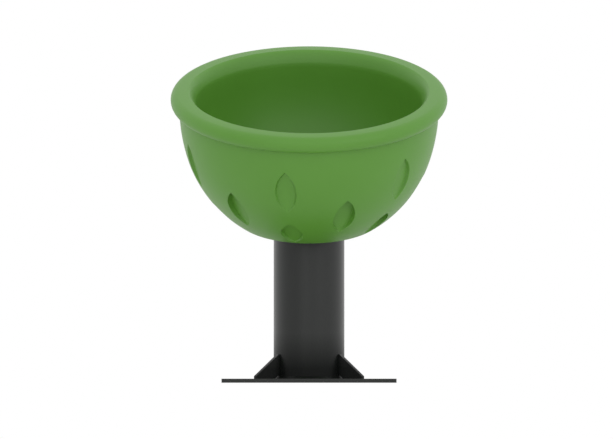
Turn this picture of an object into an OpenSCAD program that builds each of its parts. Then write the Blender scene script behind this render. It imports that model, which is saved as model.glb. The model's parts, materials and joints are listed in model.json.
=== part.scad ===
// Playground spinner bowl: a round seat bowl that turns on a leaning axis
// at the head of a short steel post, which stands on a square base plate.
// Millimetres, +Z up, origin at the centre of the base plate's underside.
// The bowl leans towards -Y, which is called the front.
// "axis frame": origin at the centre of the bowl's flat underside, +Z up the
// leaning axis. Heights in it are called w.

/* [Base] */
// Side of the square base plate
base_w = 346; // [320:1:460]
// Thickness of the base plate
base_t = 8; // [6:0.5:15]
// Corner radius of the base plate
base_corner_r = 6; // [2:1:20]
// Distance from a plate edge to the centre of an anchor hole
anchor_edge = 35; // [28:1:45]
// Diameter of an anchor hole
anchor_d = 18; // [12:1:22]
// Diameter of the hand hole in the middle of the plate
hand_hole_d = 110; // [60:1:115]

/* [Post] */
// Outside diameter of the post tube
post_d = 139.7; // [130:0.1:170]
// Wall of the post tube
post_wall = 4; // [3:0.5:5]
// Leg of the weld round the foot of the post
weld_leg = 5; // [3:0.5:8]

/* [Gussets] */
// Thickness of a gusset
gusset_t = 10; // [6:1:12]
// Height of a gusset above the plate
gusset_h = 48; // [36:1:70]
// Reach of a gusset beyond the tube
gusset_reach = 53; // [40:1:70]
// Height of a gusset's outer toe
gusset_toe = 5; // [3:1:12]
// Width of a gusset's top land
gusset_land = 2; // [1:0.5:6]
// Cope that clears the weld at a gusset's inner corner
gusset_cope = 10; // [8:1:16]

/* [Lean and height] */
// Lean of the spin axis from upright, in degrees
lean = 20.25; // [12:0.25:25]
// Height of the centre of the bowl's flat underside
seat_h = 323; // [300:1:400]

/* [Bowl] */
// Radius of the ball that the outer wall follows
ball_r = 252; // [240:1:310]
// Radius of the flat underside
flat_r = 139; // [125:1:170]
// Height of the rim's ring above the ball's centre
rim_rise = 41.3; // [30:0.1:60]
// How far the wall flares beyond the ball at the rim
wall_flare = 4.4; // [2:0.1:8]
// Latitude below the ball's equator where the flare starts, in degrees
flare_lat = 17; // [16:1:18]
// Distance between the outer and the inner wall faces
wall_t = 28; // [26:0.5:36]
// Thickness of the moulded skin
skin_t = 5; // [3:0.5:5]
// Height of the seat floor above the flat underside
floor_h = 30; // [26:1:40]
// Radius between the seat floor and the inner wall
floor_blend_r = 30; // [10:1:60]
// Radius between the flat underside and the outer wall
bottom_blend_r = 6; // [2:1:12]
// Radius of the outer half of the rolled rim
rim_out_r = 17; // [10:0.5:20]
// Radius of the inner half of the rolled rim
rim_in_r = 18.6; // [10:0.1:20]

/* [Hand holds] */
// Hand holds in each row
hold_count = 6; // [4:1:6]
// Turn of the first column of holds from the front, in degrees
hold_turn = -11; // [-30:1:30]
// Depth of each hold at its lower point
hold_tip_d = 0.6; // [0.6:0.1:1]
// High row: distance up the wall from the flat's edge to a hold's middle
high_row_up = 178; // [172:1:190]
// High row: length of a hold
high_hold_l = 100; // [60:1:105]
// High row: width of a hold
high_hold_w = 44; // [30:1:50]
// High row: depth of a hold at its upper end
high_hold_d = 4.5; // [3:0.5:8]
// Middle row: distance up the wall from the flat's edge to a hold's middle
mid_row_up = 108; // [100:1:116]
// Middle row: length of a hold
mid_hold_l = 98; // [60:1:105]
// Middle row: width of a hold
mid_hold_w = 44; // [30:1:50]
// Middle row: depth of a hold at its upper end
mid_hold_d = 14; // [6:0.5:14]
// Low row: distance up the wall from the flat's edge to a hold's middle
low_row_up = 50; // [48:1:60]
// Low row: length of a hold
low_hold_l = 80; // [50:1:82]
// Low row: width of a hold
low_hold_w = 43; // [30:1:48]
// Low row: depth of a hold at its upper end
low_hold_d = 12; // [5:0.5:13]

/* [Head and bearings] */
// Gap between the head plate and the bowl's flat underside
head_gap = 10; // [9:0.5:16]
// Thickness of the head plate
head_t = 10; // [8:1:16]
// Margin of the head plate beyond the cut end of the tube
head_margin = 6; // [4:1:12]
// Bore of a bearing
bearing_bore = 30; // [25:1:35]
// Outside diameter of a bearing
bearing_od = 62; // [58:1:72]
// Width of a bearing
bearing_w = 16; // [14:1:20]
// Diameter of a bearing ball
bearing_ball_d = 9.5; // [7:0.1:10]
// Balls in a bearing
bearing_balls = 9; // [7:1:9]
// Distance between the two bearings
bearing_apart = 20; // [10:1:26]
// Wall of the bearing housing
housing_wall = 7; // [5:1:9]
// Height of the dust seal above the upper bearing
seal_t = 4; // [3:0.5:6]

/* [Bowl fixing] */
// Thickness of the spindle flange
flange_t = 6; // [5:0.5:8]
// Radius of the spindle flange
flange_r = 85; // [78:1:96]
// Bolts that hold the bowl
bolt_count = 6; // [4:1:8]
// Diameter of a bowl bolt
bolt_d = 10; // [8:1:12]
// Radius of the circle of bowl bolts
bolt_circle_r = 62; // [52:1:66]
// Thickness of the solid floor under the clamp ring
kiss_t = 10; // [8:1:12]
// Thickness of the clamp ring
clamp_t = 4; // [3:0.5:5]
// Outer radius of the clamp ring
clamp_r = 78; // [74:1:82]
// Radius of the recess for the bolts
recess_r = 84; // [80:1:90]
// Width of the ledge that carries the centre cap
ledge_w = 7; // [5:1:10]
// Thickness of the centre cap
cap_t = 5; // [4:0.5:6]

/* [Drains] */
// Drain bushes in the seat floor
drain_count = 6; // [3:1:6]
// Radius of the circle of drain bushes
drain_circle_r = 111; // [104:1:111]
// Bore of a drain bush
drain_d = 12; // [8:1:14]
// Wall of a drain bush
drain_wall = 2; // [1.5:0.5:3]

/* [Hidden] */
$fn = 96;

// Clearances
fit = 0.05;       // round pieces seated in each other
loose = 0.3;      // pieces that pass each other
race_gap = 0.1;   // ball to race
over = 1;         // overshoot of a cut past a face
big = 1000;       // more than any size of the part

// Colours
green = [0.36, 0.55, 0.24];
dark_steel = [0.22, 0.23, 0.22];
bare_steel = [0.70, 0.71, 0.72];
black_rubber = [0.08, 0.08, 0.08];
brass_tone = [0.72, 0.58, 0.30];

// Post and head
post_r = post_d / 2;
head_bottom_w = -head_gap - head_t;
head_r = (post_r - head_bottom_w * sin(lean)) / cos(lean) + head_margin;

// Bowl
flat_drop = sqrt(ball_r * ball_r - flat_r * flat_r);
ball_w = flat_drop;
edge_lat = asin(flat_drop / ball_r);
rim_w = ball_w + rim_rise;
inner_r = ball_r - wall_t;
flare_r = ball_r + wall_flare / (1 - cos(flare_lat));
flare_x = ball_r + wall_flare - flare_r;
flare_w = ball_w + (flare_r - ball_r) * sin(flare_lat);
rim_out_x = ball_r + wall_flare;
rim_in_x = inner_r + rim_in_r;

// Bearing stack, in w
housing_top = -head_gap;
seal_bottom = housing_top - seal_t;
upper_mid = seal_bottom - bearing_w / 2;
upper_bottom = seal_bottom - bearing_w;
lower_top = upper_bottom - bearing_apart;
lower_mid = lower_top - bearing_w / 2;
lower_bottom = lower_top - bearing_w;
housing_bottom = lower_bottom - 2;
bearing_or = bearing_od / 2;
journal_r = bearing_bore / 2;
ring_t = 5;
inner_land_r = journal_r + ring_t;
outer_land_r = bearing_or - ring_t;
pitch_r = (journal_r + bearing_or) / 2;
ball_d = bearing_ball_d;
housing_r = bearing_or + housing_wall;
shoulder_bore_r = outer_land_r + 1;

// Spindle
shoulder_r = inner_land_r - 2;
spindle_top = kiss_t + clamp_t;
washer_t = 2;
nut_h = 12;
nut_r = journal_r + 8;
thread_r = journal_r - 1;
nut_bottom = lower_bottom - washer_t - nut_h;
spindle_bottom = nut_bottom - 4;

// Bowl bolts
head_af_r = bolt_d * 0.924;
bolt_head_h = bolt_d * 0.64;
bolt_washer_r = bolt_d * 1.05;
bolt_tip = -flange_t - 0.5;

// Centre cap
cap_r = recess_r + ledge_w;
cap_bottom = floor_h - cap_t;
cap_hub_r = shoulder_r - 2;
cap_screw_r = 4;
cap_screw_head_r = 7.5;
cap_screw_head_h = 4;
cap_screw_l = 36;

// Drains and vent
drain_r = drain_d / 2 + drain_wall;
drain_collar_t = 2;
drain_collar_w = 3;
vent_r = 6;
vent_circle_r = 108;
vent_head_r = 9;
vent_head_t = 2;

// ---- frames and helpers ----

// Puts its children on the leaning axis
module on_axis() {
  translate([0, 0, seat_h]) rotate([lean, 0, 0]) children();
}

// Repeats its children n times round Z, starting at an angle from the front
module ring_of(n, start = 0) {
  for (i = [0 : n - 1]) rotate([0, 0, start + i * 360 / n]) children();
}

// A ring between two radii and two heights
module ring(r_out, r_in, w_low, w_high) {
  difference() {
    translate([0, 0, w_low]) cylinder(r = r_out, h = w_high - w_low);
    translate([0, 0, w_low - over]) cylinder(r = r_in, h = w_high - w_low + 2 * over);
  }
}

// ---- bowl outlines, drawn in the half plane of radius and w ----

// Cuts the corner between the flat line at height f and a ball of radius r
// back to a round of radius b, from an outline that lies above f
module blend_cut(r, f, b) {
  cx = sqrt((r - b) * (r - b) - (ball_w - f - b) * (ball_w - f - b));
  cw = f + b;
  kx = r * cx / (r - b);
  kw = ball_w + r * (cw - ball_w) / (r - b);
  ex = r * cos(asin((ball_w - f) / r));
  difference() {
    polygon([[cx, cw], [cx, f - over], [ex + b, f - over], [kx + b, kw], [kx, kw]]);
    translate([cx, cw]) circle(r = b);
  }
}

// Everything inside the outer face, drawn in by d
module outer_outline(d) {
  flare_start = ball_w - (ball_r - d) * sin(flare_lat);
  slope = asin((rim_in_r - rim_out_r) / (rim_out_x - rim_in_x));
  difference() {
    intersection() {
      translate([0, ball_w]) circle(r = ball_r - d);
      translate([0, d]) square([big, flare_start - d]);
    }
    blend_cut(ball_r - d, d, bottom_blend_r);
  }
  intersection() {
    translate([flare_x, flare_w]) circle(r = flare_r - d);
    translate([0, flare_start]) square([big, rim_w - flare_start]);
  }
  translate([rim_out_x, rim_w]) circle(r = rim_out_r - d);
  translate([rim_in_x, rim_w]) circle(r = rim_in_r - d);
  polygon([[rim_in_x, rim_w - over],
           [rim_out_x, rim_w - over],
           [rim_out_x + (rim_out_r - d) * sin(slope), rim_w + (rim_out_r - d) * cos(slope)],
           [rim_in_x + (rim_in_r - d) * sin(slope), rim_w + (rim_in_r - d) * cos(slope)]]);
}

// The open inside of the bowl, let out by d
module inner_outline(d) {
  difference() {
    intersection() {
      translate([0, ball_w]) circle(r = inner_r + d);
      translate([0, floor_h - d]) square([big, ball_w - floor_h + d]);
    }
    blend_cut(inner_r + d, floor_h - d, floor_blend_r + d);
  }
  translate([0, ball_w - over]) square([inner_r + d, rim_w - ball_w + over]);
}

// Recess for the bolts, with the ledge for the cap
module recess_outline() {
  translate([0, kiss_t]) square([recess_r, floor_h - kiss_t + over]);
  translate([0, cap_bottom]) square([cap_r, cap_t + over]);
}

// ---- hand holds ----

// Leaf shape of length l and width w, pointed at both ends, let out by d
module leaf(l, w, d) {
  side_r = (l * l + w * w) / (4 * w);
  intersection() {
    translate([side_r - w / 2, 0]) circle(r = side_r + d);
    translate([w / 2 - side_r, 0]) circle(r = side_r + d);
  }
}

// Tool for one hand hold at the front. Its floor starts just under the wall at
// the lower point and is deep at the upper point. d lets it out on all sides.
module hold_tool(up, l, w, depth, d) {
  lat = edge_lat - up / ball_r * 180 / PI;
  chord = sqrt(ball_r * ball_r - l * l / 4);
  translate([0, 0, ball_w])
    rotate([lat + 90, 0, 0])
      translate([0, -l / 2, chord - hold_tip_d])
        rotate([-asin((depth - hold_tip_d) / l), 0, 0])
          translate([0, l / 2, -d])
            linear_extrude(height = depth + wall_t) leaf(l, w, d);
}

// All hand holds, let out by d
module hold_tools(d) {
  half_step = 180 / hold_count;
  ring_of(hold_count, hold_turn) {
    hold_tool(high_row_up, high_hold_l, high_hold_w, high_hold_d, d);
    hold_tool(low_row_up, low_hold_l, low_hold_w, low_hold_d, d);
  }
  ring_of(hold_count, hold_turn + half_step)
    hold_tool(mid_row_up, mid_hold_l, mid_hold_w, mid_hold_d, d);
}

// Places its children at each drain, between the columns of low holds
module at_drains() {
  ring_of(drain_count, hold_turn + 180 / hold_count)
    translate([0, -drain_circle_r, 0]) children();
}

// ---- stand ----

module base_plate() {
  anchor_at = base_w / 2 - anchor_edge;
  color(dark_steel) difference() {
    union() {
      translate([-base_w / 2, -base_w / 2 + base_corner_r, 0])
        cube([base_w, base_w - 2 * base_corner_r, base_t]);
      translate([-base_w / 2 + base_corner_r, -base_w / 2, 0])
        cube([base_w - 2 * base_corner_r, base_w, base_t]);
      for (sx = [-1, 1], sy = [-1, 1])
        translate([sx * (base_w / 2 - base_corner_r), sy * (base_w / 2 - base_corner_r), 0])
          cylinder(r = base_corner_r, h = base_t);
    }
    for (sx = [-1, 1], sy = [-1, 1])
      translate([sx * anchor_at, sy * anchor_at, -over])
        cylinder(d = anchor_d, h = base_t + 2 * over);
    translate([0, 0, -over]) cylinder(d = hand_hole_d, h = base_t + 2 * over);
  }
}

module post_tube() {
  color(dark_steel) difference() {
    translate([0, 0, base_t]) cylinder(r = post_r, h = seat_h);
    translate([0, 0, base_t - over]) cylinder(r = post_r - post_wall, h = seat_h + 2 * over);
    on_axis() translate([-big / 2, -big / 2, head_bottom_w]) cube([big, big, big]);
  }
}

module post_weld() {
  color(dark_steel) translate([0, 0, base_t]) rotate_extrude()
    polygon([[post_r, 0], [post_r + weld_leg, 0], [post_r, weld_leg]]);
}

// A gusset that stands out from the tube at an angle from the front
module gusset(angle) {
  inner = post_r - post_wall;
  color(dark_steel) rotate([0, 0, angle - 90]) difference() {
    translate([0, gusset_t / 2, base_t]) rotate([90, 0, 0])
      linear_extrude(height = gusset_t)
        polygon([[inner, gusset_cope],
                 [post_r, gusset_cope],
                 [post_r + gusset_cope, 0],
                 [post_r + gusset_reach, 0],
                 [post_r + gusset_reach, gusset_toe],
                 [post_r + gusset_land, gusset_h],
                 [inner, gusset_h]]);
    cylinder(r = post_r, h = seat_h);
  }
}

module gusset_left() { gusset(-60); }
module gusset_right() { gusset(60); }
module gusset_rear() { gusset(180); }

module head_plate() {
  color(dark_steel) on_axis() ring(head_r, housing_r + fit, head_bottom_w, -head_gap);
}

module bearing_housing() {
  color(bare_steel) on_axis() difference() {
    translate([0, 0, housing_bottom]) cylinder(r = housing_r, h = housing_top - housing_bottom);
    translate([0, 0, upper_bottom]) cylinder(r = bearing_or + fit, h = big);
    translate([0, 0, lower_top - big]) cylinder(r = bearing_or + fit, h = big);
    translate([0, 0, -big / 2]) cylinder(r = shoulder_bore_r, h = big);
  }
}

module dust_seal() {
  color(black_rubber) on_axis() ring(bearing_or, shoulder_r + loose, seal_bottom, housing_top);
}

// Half section of the balls' track
module race_groove(mid) {
  translate([pitch_r, mid]) circle(d = ball_d + 2 * race_gap);
}

module outer_ring(mid) {
  color(bare_steel) on_axis() rotate_extrude() difference() {
    translate([outer_land_r, mid - bearing_w / 2]) square([ring_t, bearing_w]);
    race_groove(mid);
  }
}

module upper_outer_ring() { outer_ring(upper_mid); }
module lower_outer_ring() { outer_ring(lower_mid); }

// ---- rolling sets ----

module balls(mid) {
  color(bare_steel) on_axis() ring_of(bearing_balls)
    translate([0, -pitch_r, mid]) sphere(d = ball_d);
}

module cage(mid) {
  cage_t = 3.6;
  cage_w = ball_d + 2.5;
  color(brass_tone) on_axis() difference() {
    ring(pitch_r + cage_t / 2, pitch_r - cage_t / 2, mid - cage_w / 2, mid + cage_w / 2);
    ring_of(bearing_balls) translate([0, cage_t - pitch_r, mid]) rotate([90, 0, 0])
      cylinder(d = ball_d + 2 * race_gap, h = 2 * cage_t);
  }
}

module upper_cage() { cage(upper_mid); }
module upper_balls() { balls(upper_mid); }
module lower_cage() { cage(lower_mid); }
module lower_balls() { balls(lower_mid); }

// ---- spindle ----

module spindle() {
  color(bare_steel) on_axis() difference() {
    union() {
      translate([0, 0, seal_bottom]) cylinder(r = shoulder_r, h = spindle_top - seal_bottom);
      translate([0, 0, lower_bottom]) cylinder(r = journal_r, h = seal_bottom - lower_bottom);
      translate([0, 0, spindle_bottom]) cylinder(r = thread_r, h = lower_bottom - spindle_bottom);
    }
    translate([0, 0, cap_bottom - cap_screw_l - over])
      cylinder(r = cap_screw_r + fit, h = big);
  }
}

module spindle_flange() {
  color(bare_steel) on_axis() difference() {
    ring(flange_r, shoulder_r + fit, -flange_t, 0);
    ring_of(bolt_count) translate([0, -bolt_circle_r, -flange_t - over])
      cylinder(r = bolt_d / 2 + fit, h = flange_t + 2 * over);
  }
}

module bearing_spacer() {
  color(bare_steel) on_axis()
    ring(inner_land_r - 1, journal_r + fit, lower_top, upper_bottom);
}

module inner_ring(mid) {
  color(bare_steel) on_axis() rotate_extrude() difference() {
    translate([journal_r + fit, mid - bearing_w / 2]) square([ring_t - fit, bearing_w]);
    race_groove(mid);
  }
}

module upper_inner_ring() { inner_ring(upper_mid); }
module lower_inner_ring() { inner_ring(lower_mid); }

module lock_washer() {
  color(bare_steel) on_axis()
    ring(nut_r - 2, thread_r + fit, lower_bottom - washer_t, lower_bottom);
}

module lock_nut() {
  color(bare_steel) on_axis() difference() {
    translate([0, 0, nut_bottom]) cylinder(r = nut_r, h = nut_h, $fn = 6);
    translate([0, 0, nut_bottom - over]) cylinder(r = thread_r + fit, h = nut_h + 2 * over);
  }
}

// ---- bowl ----

module bowl_shell() {
  core_r = cap_r + skin_t;
  color(green) on_axis() difference() {
    rotate_extrude() difference() {
      outer_outline(0);
      inner_outline(0);
      recess_outline();
    }
    hold_tools(0);
    difference() {
      rotate_extrude() difference() {
        outer_outline(skin_t);
        inner_outline(skin_t);
        square([core_r, floor_h + over]);
      }
      hold_tools(skin_t);
    }
    translate([0, 0, -over]) cylinder(r = shoulder_r + loose, h = floor_h);
    ring_of(bolt_count) translate([0, -bolt_circle_r, -over])
      cylinder(r = bolt_d / 2 + loose, h = floor_h);
    at_drains() translate([0, 0, -over]) cylinder(r = drain_r + fit, h = floor_h + 2 * over);
    rotate([0, 0, hold_turn]) translate([0, -vent_circle_r, -over])
      cylinder(r = vent_r + fit, h = skin_t + 2 * over);
  }
}

module clamp_ring() {
  color(bare_steel) on_axis() difference() {
    ring(clamp_r, shoulder_r + loose, kiss_t, kiss_t + clamp_t);
    ring_of(bolt_count) translate([0, -bolt_circle_r, kiss_t - over])
      cylinder(r = bolt_d / 2 + loose, h = clamp_t + 2 * over);
  }
}

module bolt_washers() {
  color(bare_steel) on_axis() ring_of(bolt_count) translate([0, -bolt_circle_r, 0])
    ring(bolt_washer_r, bolt_d / 2 + loose, spindle_top, spindle_top + washer_t);
}

module bowl_bolts() {
  color(bare_steel) on_axis() ring_of(bolt_count) translate([0, -bolt_circle_r, 0]) {
    translate([0, 0, bolt_tip])
      cylinder(d = bolt_d, h = spindle_top + washer_t - bolt_tip);
    translate([0, 0, spindle_top + washer_t])
      cylinder(r = head_af_r, h = bolt_head_h, $fn = 6);
  }
}

module centre_cap() {
  color(green) on_axis() difference() {
    union() {
      translate([0, 0, cap_bottom]) cylinder(r = cap_r - loose, h = cap_t);
      translate([0, 0, spindle_top]) cylinder(r = cap_hub_r, h = cap_bottom - spindle_top);
    }
    translate([0, 0, spindle_top - over]) cylinder(r = cap_screw_r + loose, h = floor_h);
    translate([0, 0, cap_bottom]) cylinder(r = cap_screw_head_r + loose, h = cap_t + over);
  }
}

module cap_screw() {
  color(bare_steel) on_axis() {
    translate([0, 0, cap_bottom - cap_screw_l]) cylinder(r = cap_screw_r, h = cap_screw_l);
    difference() {
      translate([0, 0, cap_bottom]) cylinder(r = cap_screw_head_r, h = cap_screw_head_h);
      translate([0, 0, cap_bottom + cap_screw_head_h / 2])
        cylinder(r = cap_screw_r * 0.7, h = cap_screw_head_h, $fn = 6);
    }
  }
}

module drain_bushes() {
  color(green) on_axis() at_drains() difference() {
    union() {
      cylinder(r = drain_r, h = floor_h);
      translate([0, 0, floor_h]) cylinder(r = drain_r + drain_collar_w, h = drain_collar_t);
    }
    translate([0, 0, -over]) cylinder(d = drain_d, h = floor_h + drain_collar_t + 2 * over);
  }
}

module vent_plug() {
  color(black_rubber) on_axis() rotate([0, 0, hold_turn]) translate([0, -vent_circle_r, 0]) {
    cylinder(r = vent_r, h = skin_t + 1);
    translate([0, 0, -vent_head_t]) cylinder(r = vent_head_r, h = vent_head_t);
  }
}

base_plate();
post_tube();
post_weld();
gusset_left();
gusset_right();
gusset_rear();
head_plate();
bearing_housing();
dust_seal();
upper_outer_ring();
lower_outer_ring();
upper_cage();
upper_balls();
lower_cage();
lower_balls();
spindle();
spindle_flange();
bearing_spacer();
upper_inner_ring();
lower_inner_ring();
lock_washer();
lock_nut();
bowl_shell();
clamp_ring();
bolt_washers();
bowl_bolts();
centre_cap();
cap_screw();
drain_bushes();
vent_plug();
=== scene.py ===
"""A playground spinner bowl: a moulded seat bowl on a leaning axis over a short steel post."""
import json
import math

import bmesh
import bpy
import numpy as np
from mathutils import Matrix, Vector


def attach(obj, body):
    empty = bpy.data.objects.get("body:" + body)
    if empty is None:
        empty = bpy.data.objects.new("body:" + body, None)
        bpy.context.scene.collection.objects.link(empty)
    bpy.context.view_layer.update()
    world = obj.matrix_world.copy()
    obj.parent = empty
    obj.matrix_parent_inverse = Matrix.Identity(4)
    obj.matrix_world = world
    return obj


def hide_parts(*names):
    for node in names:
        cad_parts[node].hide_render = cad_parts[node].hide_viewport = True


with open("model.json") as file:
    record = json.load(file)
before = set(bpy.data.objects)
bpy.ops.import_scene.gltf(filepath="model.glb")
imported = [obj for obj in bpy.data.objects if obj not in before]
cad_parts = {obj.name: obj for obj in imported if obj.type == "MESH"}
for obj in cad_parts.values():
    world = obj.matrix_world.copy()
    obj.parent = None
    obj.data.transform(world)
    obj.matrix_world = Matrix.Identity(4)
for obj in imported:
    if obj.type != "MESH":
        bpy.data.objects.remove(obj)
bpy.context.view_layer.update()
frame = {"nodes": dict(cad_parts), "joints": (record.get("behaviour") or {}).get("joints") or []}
nodes = frame["nodes"]

# ---- sizes, in metres ----

spin = next(j for j in frame["joints"] if j["name"] == "bowl_spin")
PIVOT = Vector(spin["pos_m"])
AXIS = Vector(spin["axis"]).normalized()
LEAN = math.atan2(-AXIS.y, AXIS.z)
ON_AXIS = Matrix.Translation(PIVOT) @ Matrix.Rotation(LEAN, 4, "X")

# The bowl is built upright on Z, with w as its height over its flat underside.
# the ball that its outer wall follows, and the flat that it is cut off at
BALL_R = 0.252
FLAT_R = 0.139
BALL_W = math.sqrt(BALL_R**2 - FLAT_R**2)
WALL_T = 0.028
INNER_R = BALL_R - WALL_T

# the upper wall's flare, an arc that leaves the ball at a low latitude
FLARE = 0.0044
FLARE_LAT = math.radians(17)
FLARE_R = BALL_R + FLARE / (1 - math.cos(FLARE_LAT))
FLARE_X = BALL_R + FLARE - FLARE_R
FLARE_W = BALL_W + (FLARE_R - BALL_R) * math.sin(FLARE_LAT)
FLARE_START = BALL_W - BALL_R * math.sin(FLARE_LAT)

# the rolled rim: an outer round, an inner round, and the crease under it
RIM_W = BALL_W + 0.0413
RIM_OUT_R = 0.017
RIM_IN_R = 0.0186
RIM_OUT_X = BALL_R + FLARE
RIM_IN_X = INNER_R + RIM_IN_R
RIM_CREASE_R = 0.004
RIM_IN_TURN = math.radians(52)
RIM_IN_DROP = 0.006

# the seat floor, the underside, and the recess that the cap closes
FLOOR_W = 0.030
FLOOR_BLEND_R = 0.030
BOTTOM_BLEND_R = 0.006
KISS_T = 0.010
RECESS_R = 0.084
CAP_R = 0.091
CAP_T = 0.005
CAP_EDGE = 0.0008
PILOT_R = 0.0183
UNDER_RINGS = (0.05, 0.09, 0.12)
FLOOR_RINGS = (0.125, 0.108)

# the drains, and the heights that their cut runs between
DRAIN_COUNT = 6
DRAIN_CIRCLE_R = 0.111
DRAIN_HOLE_R = 0.00805
DRAIN_CUT_W = (-0.01, 0.05)

# the part of the outer wall that the holds may change
OUTER_LOW_W = 0.004
OUTER_HIGH_W = RIM_W - RIM_OUT_R * 1.05
OUTER_SKIN = 0.006

# each row of hand holds: distance up the wall, length, width, depth, width of its side wall,
# and whether its columns stand between the others
HOLD_ROWS = (
    (0.178, 0.100, 0.044, 0.0026, 0.0036, 0),
    (0.108, 0.098, 0.044, 0.0140, 0.0018, 1),
    (0.050, 0.080, 0.043, 0.0120, 0.0018, 0),
)
EDGE_LAT = math.asin(BALL_W / BALL_R)
HOLD_COUNT = 6
HOLD_TURN = math.radians(-11)
HOLD_TIP = 0.0006

# the mesh: steps round the axis, how near a hold's outline each subdivision reaches, how near a
# point is before it moves onto the outline, the gap that welds, and where shading turns sharp
SPIN_STEPS = 240
HOLD_REACHES = (0.007, 0.004, 0.0025)
HOLD_SNAP = 0.0004
WELD_GAP = 0.00002
SMOOTH_BELOW = math.radians(30)

# the room's dimmer side, as a direction, where it starts, how fast it sets in and how far it goes
DIM_SIDE = (-0.85, -0.53, 0.0)
DIM_FROM = 0.70
DIM_RATE = 4.0
DIM_BY = 0.25

# height below which the post's foot and gussets get painted shade: a darker, duller coat standing in for
# the plate's shade and dark reflection
FOOT_SHADE_H = 0.095


# ---- camera, floor and light ----

def camera():
    cam_data = bpy.data.cameras.new("camera")
    cam_data.type = "ORTHO"
    cam_data.ortho_scale = 1.211
    cam_data.clip_end = 20
    cam = bpy.data.objects.new("camera", cam_data)
    cam.location = (-0.0050, -3.0, 0.3225)
    cam.rotation_euler = (math.radians(90), 0, 0)
    bpy.context.scene.collection.objects.link(cam)
    bpy.context.scene.camera = cam


def area_light(name, place, aim, size, power):
    data = bpy.data.lights.new(name, "AREA")
    data.shape = "DISK"
    data.size = size
    data.energy = power
    lamp = bpy.data.objects.new(name, data)
    lamp.location = place
    lamp.rotation_euler = (Vector(aim) - Vector(place)).to_track_quat("-Z", "Y").to_euler()
    bpy.context.scene.collection.objects.link(lamp)


def studio():
    """A white room that is a little dimmer to the left of the front, over a pale floor."""
    bpy.context.scene.view_settings.view_transform = "Standard"
    room = Finish("room_light", world=True)
    dim_side = room.node("ShaderNodeVectorMath", {"operation": "DOT_PRODUCT"},
                         {0: room.place, 1: DIM_SIDE}, out="Value")
    dim = ((dim_side - DIM_FROM) * DIM_RATE).clamp() * DIM_BY
    seen = room.node("ShaderNodeLightPath", out="Is Camera Ray")
    sky = room.tree.nodes["Background"]
    sky.inputs["Color"].default_value = (1, 1, 1, 1)
    room.tree.links.new((1 - dim * (1 - seen)).link, sky.inputs["Strength"])
    area_light("key", (1.8, -2.4, 1.4), (0, 0, 0.4), 2.0, 5)
    area_light("fill", (-0.6, -2.6, 1.0), (0, 0, 0.4), 2.0, 2)
    bpy.ops.object.select_all(action="DESELECT")
    bpy.ops.mesh.primitive_plane_add(size=16, location=(0, 0, -0.0005))
    floor = bpy.context.object
    floor.name = "floor"
    floor.data.materials.append(floor_finish())


# ---- shader maths ----

class Socket:
    """An output that adds Math nodes when it is used in an expression."""

    def __init__(self, finish, link):
        self.finish = finish
        self.link = link

    def maths(self, operation, *values):
        return self.finish.node("ShaderNodeMath", {"operation": operation}, dict(enumerate(values)))

    def __add__(self, other):
        return self.maths("ADD", self, other)

    __radd__ = __add__

    def __sub__(self, other):
        return self.maths("SUBTRACT", self, other)

    def __rsub__(self, other):
        return self.maths("SUBTRACT", other, self)

    def __mul__(self, other):
        return self.maths("MULTIPLY", self, other)

    __rmul__ = __mul__

    def clamp(self):
        return self.maths("MINIMUM", self.maths("MAXIMUM", self, 0.0), 1.0)


class Finish:
    """A material, built node by node round one Principled shader, or the room's own light."""

    def __init__(self, name, world=False, **fixed):
        if world:
            self.material = bpy.context.scene.world = bpy.data.worlds.new(name)
        else:
            self.material = bpy.data.materials.new(name)
        self.material.use_nodes = True
        self.tree = self.material.node_tree
        self.shader = self.tree.nodes.get("Principled BSDF")
        for socket, value in fixed.items():
            self.shader.inputs[socket.replace("_", " ")].default_value = value
        self.place = self.node("ShaderNodeTexCoord", out="Generated" if world else "Object")

    def node(self, kind, settings=None, inputs=None, out=0):
        made = self.tree.nodes.new(kind)
        for key, value in (settings or {}).items():
            setattr(made, key, value)
        for key, value in (inputs or {}).items():
            if isinstance(value, Socket):
                self.tree.links.new(value.link, made.inputs[key])
            else:
                made.inputs[key].default_value = value
        return Socket(self, made.outputs[out])

    def noise(self, scale, detail=3.0, rough=0.55):
        inputs = {"Vector": self.place, "Scale": scale, "Detail": detail, "Roughness": rough}
        return self.node("ShaderNodeTexNoise", None, inputs, out="Fac")

    def mix(self, amount, low, high):
        """A colour between two; a Mix node keeps its colour sockets at 6 and 7, and its result at 2."""
        return self.node("ShaderNodeMix", {"data_type": "RGBA"}, {0: amount, 6: low, 7: high}, out=2)

    def bump(self, height, distance, strength=1.0):
        inputs = {"Height": height, "Distance": distance, "Strength": strength}
        return self.node("ShaderNodeBump", None, inputs, out="Normal")

    def cover(self, shader, amount):
        """Lays another shader over the first one, by an amount of 0 to 1."""
        first = Socket(self, self.shader.outputs["BSDF"])
        over = self.node("ShaderNodeMixShader", None, {0: amount, 1: first, 2: shader})
        self.tree.links.new(over.link, self.tree.nodes["Material Output"].inputs["Surface"])

    def set(self, **links):
        for socket, value in links.items():
            self.tree.links.new(value.link, self.shader.inputs[socket.replace("_", " ")])
        return self.material


def rgb(r, g, b):
    """Linear colour from display values of 0 to 255."""
    def linear(v):
        v = v / 255
        return v / 12.92 if v <= 0.04045 else ((v + 0.055) / 1.055) ** 2.4
    return (linear(r), linear(g), linear(b), 1)


def floor_finish():
    f = Finish("floor_white", Roughness=0.9)
    tone = f.noise(2.0)
    return f.set(Base_Color=f.mix(tone, rgb(238, 238, 236), rgb(244, 244, 243)))


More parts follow.
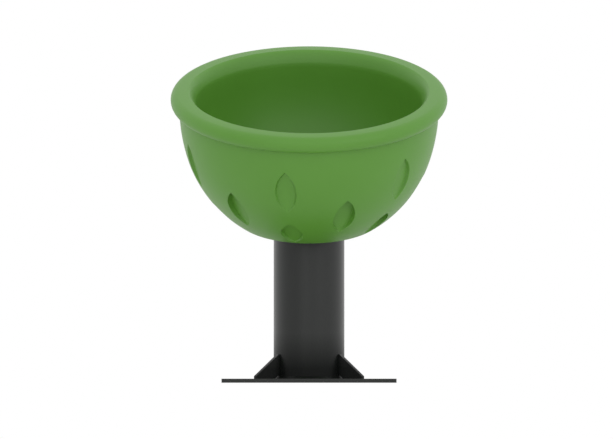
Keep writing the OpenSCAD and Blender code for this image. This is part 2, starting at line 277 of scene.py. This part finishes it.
def moulded_plastic(name, deep, pale):
    """Rotomoulded plastic: soft gloss, a fine orange peel and slow drifts of tone."""
    f = Finish(name, IOR=1.49)
    drift = f.noise(7.0, 2.0)
    speck = f.noise(900.0, 2.0, 0.6)
    peel = f.noise(420.0, 3.0, 0.5)
    wave = f.noise(26.0, 2.0, 0.4)
    scuff = (f.noise(60.0, 6.0, 0.75) - 0.62).clamp() * 2.2
    tone = f.mix((drift * 0.75 + speck * 0.25).clamp(), deep, pale)
    return f.set(
        Base_Color=f.mix(scuff.clamp() * 0.35, tone, rgb(118, 156, 82)),
        Roughness=(0.40 + drift * 0.08 + scuff * 0.12).clamp(),
        Normal=f.bump(peel * 0.7 + wave * 0.3, 0.00012, 0.5),
    )


def powder_coat(name, foot_shade_h=0.0):
    """Dark grey powder coat on steel: fine grain and an even, low sheen; below the given foot height,
    painted shade: a darker, duller coat that stands in for the shade and dark reflection of the plate.
    """
    f = Finish(name, IOR=1.5)
    grain = f.noise(1500.0, 2.0, 0.6)
    orange = f.noise(260.0, 3.0, 0.5)
    drift = f.noise(9.0, 3.0)
    normal = f.bump(orange * 0.6 + grain * 0.4, 0.00008, 0.4)
    if foot_shade_h:
        height = f.node("ShaderNodeSeparateXYZ", None, {0: f.place}, out="Z")
        # painted shade: a dark, low-sheen shader laid over the foot and fading out upward, in place of the
        # plate's shade and dark reflection
        painted_foot_shade = f.node("ShaderNodeBsdfPrincipled", None,
                      {"Base Color": rgb(18, 20, 19), "Roughness": 0.55, "Specular IOR Level": 0.08,
                       "Normal": normal})
        f.cover(painted_foot_shade, ((foot_shade_h - height + drift * 0.008) * 14).clamp() * 0.85)
    return f.set(
        Base_Color=f.mix((drift * 0.6 + grain * 0.4).clamp(), rgb(16, 19, 18), rgb(25, 28, 26)),
        Roughness=(0.26 + grain * 0.08 + drift * 0.04).clamp(),
        Normal=normal,
    )


def turned_steel(name, dark, light, rough):
    """Bare steel with fine tool marks round the spin axis."""
    f = Finish(name, Metallic=1.0)
    middle = tuple(PIVOT)
    at = f.node("ShaderNodeMapping", {"vector_type": "TEXTURE"},
                {"Vector": f.place, "Location": middle, "Rotation": (LEAN, 0, 0)})
    marks = f.node("ShaderNodeTexNoise", None,
                   {"Vector": f.node("ShaderNodeMapping", None, {"Vector": at, "Scale": (60, 60, 4000)}),
                    "Scale": 1.0, "Detail": 2.0}, out="Fac")
    stain = f.noise(45.0, 4.0, 0.6)
    return f.set(
        Base_Color=f.mix((marks * 0.5 + stain * 0.5).clamp(), dark, light),
        Roughness=(rough + marks * 0.12 + stain * 0.08).clamp(),
        Normal=f.bump(marks, 0.00003, 0.4),
    )


def soft_rubber():
    f = Finish("seal_rubber")
    grain = f.noise(1100.0, 2.0)
    bloom = f.noise(40.0, 4.0)
    return f.set(
        Base_Color=f.mix(bloom, rgb(24, 24, 24), rgb(38, 38, 37)),
        Roughness=(0.62 + grain * 0.2).clamp(),
        Normal=f.bump(grain, 0.00008, 0.5),
    )


# ---- bowl ----

def arc(x, w, r, start, end, steps):
    """Points of an arc in the half plane of radius and w; angles in degrees from +x."""
    angles = np.radians(np.linspace(start, end, steps + 1))
    return [(x + r * math.cos(a), w + r * math.sin(a)) for a in angles]


def soft_corner(start, corner, end, steps):
    """Points of a curve that cuts a corner, without its ends."""
    return [tuple((1 - k) ** 2 * a + 2 * k * (1 - k) * b + k * k * c for a, b, c in zip(start, corner, end))
            for k in np.linspace(0, 1, steps + 2)[1:-1]]


def corner_round(ball, floor, blend):
    """Centre radius of the round between a flat at height floor and a ball of radius ball,
    and the angle at which that round meets the ball."""
    x = math.sqrt((ball - blend) ** 2 - (BALL_W - floor - blend) ** 2)
    return x, math.degrees(math.atan2(floor + blend - BALL_W, x))


def bowl_outline():
    """Closed outline of the bowl's wall, from the pilot hole out, over the rim and back."""
    bottom_x, bottom_end = corner_round(BALL_R, 0, BOTTOM_BLEND_R)
    floor_x, floor_end = corner_round(INNER_R, FLOOR_W, FLOOR_BLEND_R)
    flare_low = -math.degrees(FLARE_LAT)
    crease = (RIM_OUT_X, RIM_W - RIM_OUT_R)
    flare_top = math.degrees(math.asin((crease[1] - RIM_CREASE_R - FLARE_W) / FLARE_R))
    slope = math.degrees(math.asin((RIM_IN_R - RIM_OUT_R) / (RIM_OUT_X - RIM_IN_X)))
    points = [(r, 0) for r in (PILOT_R, *UNDER_RINGS)]
    points += arc(bottom_x, BOTTOM_BLEND_R, BOTTOM_BLEND_R, -90, bottom_end, 5)
    points += arc(0, BALL_W, BALL_R, bottom_end, flare_low, 28)[1:]
    points += arc(FLARE_X, FLARE_W, FLARE_R, flare_low, flare_top, 16)[1:]
    rolled = arc(RIM_OUT_X, RIM_W, RIM_OUT_R, -62, 90 - slope, 14)
    points += soft_corner(points[-1], crease, rolled[0], 4) + rolled
    # the inner half of the rim, which ends in a clear edge a little below the rim's ring
    reach = (RIM_IN_X - INNER_R) / math.sin(RIM_IN_TURN)
    fall = (RIM_IN_R + RIM_IN_DROP) / (1 - math.cos(RIM_IN_TURN))
    for turn in np.linspace(math.radians(slope), RIM_IN_TURN, 13)[1:]:
        points.append((RIM_IN_X - reach * math.sin(turn), RIM_W + RIM_IN_R - fall * (1 - math.cos(turn))))
    points += [(INNER_R, w) for w in np.linspace(RIM_W - RIM_IN_DROP, BALL_W, 6)[1:-1]]
    points += arc(0, BALL_W, INNER_R, 0, floor_end, 22)
    points += arc(floor_x, FLOOR_W + FLOOR_BLEND_R, FLOOR_BLEND_R, floor_end, -90, 8)[1:]
    points += [(r, FLOOR_W) for r in (*FLOOR_RINGS, CAP_R + CAP_EDGE)]
    points += [(CAP_R, FLOOR_W - CAP_EDGE)]
    points += [(CAP_R, FLOOR_W - CAP_T), (RECESS_R, FLOOR_W - CAP_T)]
    points += [(r, KISS_T) for r in (RECESS_R, UNDER_RINGS[0], PILOT_R)]
    return points


def hold_frames():
    """For each hand hold: its outward, sideways and upward directions, its sizes and its wall."""
    for up, length, width, depth, edge, between in HOLD_ROWS:
        lat = up / BALL_R - EDGE_LAT
        for i in range(HOLD_COUNT):
            turn = HOLD_TURN + (i + between / 2) * 2 * math.pi / HOLD_COUNT
            out = np.array((math.sin(turn) * math.cos(lat), -math.cos(turn) * math.cos(lat), math.sin(lat)))
            side = np.array((math.cos(turn), math.sin(turn), 0))
            rise = np.cross(side, -out)
            yield out, side, rise, length, width, depth, edge


def in_hold(points, hold):
    """Sideways, upward and outward places of points in a hold's frame, how far each lies inside
    its leaf, and the sideways and upward parts of the way further in."""
    out, side, rise, length, width, _, _ = hold
    side_r = (length**2 + width**2) / (4 * width)
    q = points - np.array((0, 0, BALL_W))
    s, t, h = q @ side, q @ rise, q @ out
    middle = np.where(s > 0, width / 2 - side_r, side_r - width / 2)
    reach = np.hypot(s - middle, t)
    inset = np.where(h > 0, side_r - reach, -1)
    return t, h, inset, (middle - s) / reach, -t / reach


def wall_points(obj):
    points = np.empty(len(obj.data.vertices) * 3)
    obj.data.vertices.foreach_get("co", points)
    return points.reshape(-1, 3)


def on_outer_wall(points):
    """True for points of the bowl's outer face, between the flat's edge and the rim."""
    r = np.hypot(points[:, 0], points[:, 1])
    middle = np.hypot(r, points[:, 2] - BALL_W)
    between = (points[:, 2] > OUTER_LOW_W) & (points[:, 2] < OUTER_HIGH_W)
    return between & (middle > BALL_R - OUTER_SKIN)


def refine_hold_edges(obj):
    """Subdivides the wall near the holds' outlines, finest at the outline itself."""
    holds = list(hold_frames())
    for reach in HOLD_REACHES:
        points = wall_points(obj)
        near = np.zeros(len(points), bool)
        outer = on_outer_wall(points)
        for hold in holds:
            inset = in_hold(points, hold)[2]
            near |= outer & (np.abs(inset - hold[6] / 2) < reach)
        bpy.ops.object.mode_set(mode="EDIT")
        mesh = bmesh.from_edit_mesh(obj.data)
        for face in mesh.faces:
            if any(near[v.index] for v in face.verts) and all(outer[v.index] for v in face.verts):
                face.select = True
        bmesh.update_edit_mesh(obj.data)
        bpy.ops.mesh.subdivide(number_cuts=1)
        bpy.ops.mesh.select_all(action="DESELECT")
        bpy.ops.object.mode_set(mode="OBJECT")


def settle_on_wall(points, outer):
    """Puts the outer wall's points back on its true curve."""
    r = np.hypot(points[:, 0], points[:, 1])
    flared = points[:, 2] > FLARE_START
    cx = np.where(flared, FLARE_X, 0)
    cw = np.where(flared, FLARE_W, BALL_W)
    size = np.where(flared, FLARE_R, BALL_R)
    reach = np.hypot(r - cx, points[:, 2] - cw)
    grow = ((cx + (r - cx) * size / reach) / np.maximum(r, 1e-9))[outer]
    true_w = cw + (points[:, 2] - cw) * size / reach
    points[outer, 0] *= grow
    points[outer, 1] *= grow
    points[outer, 2] = true_w[outer]


def press_holds(obj):
    """Presses the hand holds into the wall, each with a crisp outline and a steep side wall."""
    points = wall_points(obj)
    outer = on_outer_wall(points)
    settle_on_wall(points, outer)
    for hold in hold_frames():
        _, side, rise, _, _, _, edge = hold
        for line in (0, edge):
            _, _, inset, to_s, to_t = in_hold(points, hold)
            close = outer & (np.abs(inset - line) < HOLD_SNAP)
            shift = np.where(close, line - inset, 0)
            points += (shift * to_s)[:, None] * side + (shift * to_t)[:, None] * rise
    settle_on_wall(points, outer)
    for hold in hold_frames():
        out, _, _, length, _, depth, edge = hold
        t, h, inset, _, _ = in_hold(points, hold)
        chord = math.sqrt(BALL_R**2 - length**2 / 4)
        floor = chord - HOLD_TIP - (depth - HOLD_TIP) * (t / length + 0.5)
        step = np.clip(inset / edge, 0, 1)
        step = step * step * (3 - 2 * step)
        drop = np.where(outer, np.maximum(h - floor, 0) * step, 0)
        points -= drop[:, None] * out
    obj.data.vertices.foreach_set("co", points.ravel())
    obj.data.update()


def select_only(obj):
    bpy.ops.object.select_all(action="DESELECT")
    obj.select_set(True)
    bpy.context.view_layer.objects.active = obj


def spun(name, outline, steps):
    """Spins a closed outline of (radius, w) points round Z."""
    bpy.ops.object.select_all(action="DESELECT")
    bpy.ops.mesh.primitive_circle_add(vertices=len(outline), fill_type="NOTHING")
    obj = bpy.context.object
    obj.name = obj.data.name = name
    for vertex, (x, w) in zip(obj.data.vertices, outline):
        vertex.co = (x, 0, w)
    bpy.ops.object.mode_set(mode="EDIT")
    bpy.ops.mesh.select_all(action="SELECT")
    bpy.ops.mesh.spin(steps=steps, angle=2 * math.pi, center=(0, 0, 0), axis=(0, 0, 1))
    bpy.ops.mesh.select_all(action="SELECT")
    bpy.ops.mesh.remove_doubles(threshold=WELD_GAP)
    bpy.ops.mesh.normals_make_consistent(inside=False)
    bpy.ops.mesh.select_all(action="DESELECT")
    bpy.ops.object.mode_set(mode="OBJECT")
    return obj


def cut_round_holes(obj, places, radius, low, high):
    """Cuts round holes along Z through the piece."""
    cutters = []
    for x, y in places:
        bpy.ops.mesh.primitive_cylinder_add(vertices=48, radius=radius, depth=high - low,
                                            location=(x, y, (low + high) / 2))
        cutters.append(bpy.context.object)
    bpy.ops.object.select_all(action="DESELECT")
    for cutter in cutters:
        cutter.select_set(True)
    bpy.context.view_layer.objects.active = cutters[0]
    bpy.ops.object.join()
    cutter = bpy.context.object
    select_only(obj)
    cut = obj.modifiers.new("holes", "BOOLEAN")
    cut.operation = "DIFFERENCE"
    cut.object = cutter
    cut.solver = "MANIFOLD"
    bpy.ops.object.modifier_apply(modifier=cut.name)
    bpy.data.objects.remove(cutter)


def drain_places():
    for i in range(DRAIN_COUNT):
        turn = HOLD_TURN + math.pi / HOLD_COUNT + i * 2 * math.pi / DRAIN_COUNT
        yield DRAIN_CIRCLE_R * math.sin(turn), -DRAIN_CIRCLE_R * math.cos(turn)


def finish_piece(obj, body, slot, material, *stands_for):
    """Leans a piece built upright onto the spin axis, and gives it its body and finish."""
    obj.data.transform(ON_AXIS)
    obj.data.materials.clear()
    obj.data.materials.append(material)
    select_only(obj)
    bpy.ops.object.shade_smooth_by_angle(angle=SMOOTH_BELOW)
    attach(obj, body)
    if stands_for:
        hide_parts(*stands_for)


def bowl(material):
    obj = spun("moulded_bowl", bowl_outline(), SPIN_STEPS)
    refine_hold_edges(obj)
    press_holds(obj)
    cut_round_holes(obj, drain_places(), DRAIN_HOLE_R, *DRAIN_CUT_W)
    finish_piece(obj, "bowl", "bowl_plastic", material, "bowl_shell")


# ---- finishes on the CAD pieces ----

def coat(material, *names):
    for name in names:
        nodes[name].data.materials.clear()
        nodes[name].data.materials.append(material)


camera()
studio()

green = moulded_plastic("bowl_green", rgb(83, 138, 41), rgb(91, 147, 51))
bowl(green)
coat(green, "bowl_shell")
coat(moulded_plastic("cap_green", rgb(72, 122, 32), rgb(80, 130, 40)), "centre_cap", "drain_bushes")
coat(powder_coat("powder_coat"), "base_plate", "head_plate")
# the post, weld and gussets carry painted shade at their foot
coat(powder_coat("powder_coat_painted_foot_shade", FOOT_SHADE_H), "post_tube", "post_weld", "gusset_left",
     "gusset_right", "gusset_rear")
coat(turned_steel("turned_steel", rgb(150, 152, 155), rgb(182, 184, 187), 0.30),
     "bearing_housing", "spindle", "spindle_flange", "bearing_spacer", "lock_washer", "lock_nut")
coat(turned_steel("ground_steel", rgb(170, 172, 176), rgb(196, 198, 202), 0.18),
     "upper_outer_ring", "lower_outer_ring", "upper_inner_ring", "lower_inner_ring")
coat(turned_steel("ball_steel", rgb(196, 198, 202), rgb(214, 216, 220), 0.08), "upper_balls", "lower_balls")
coat(turned_steel("cage_brass", rgb(168, 136, 72), rgb(196, 162, 92), 0.30), "upper_cage", "lower_cage")
coat(turned_steel("stainless", rgb(168, 168, 166), rgb(194, 194, 192), 0.26),
     "clamp_ring", "bolt_washers", "bowl_bolts", "cap_screw")
coat(soft_rubber(), "dust_seal", "vent_plug")
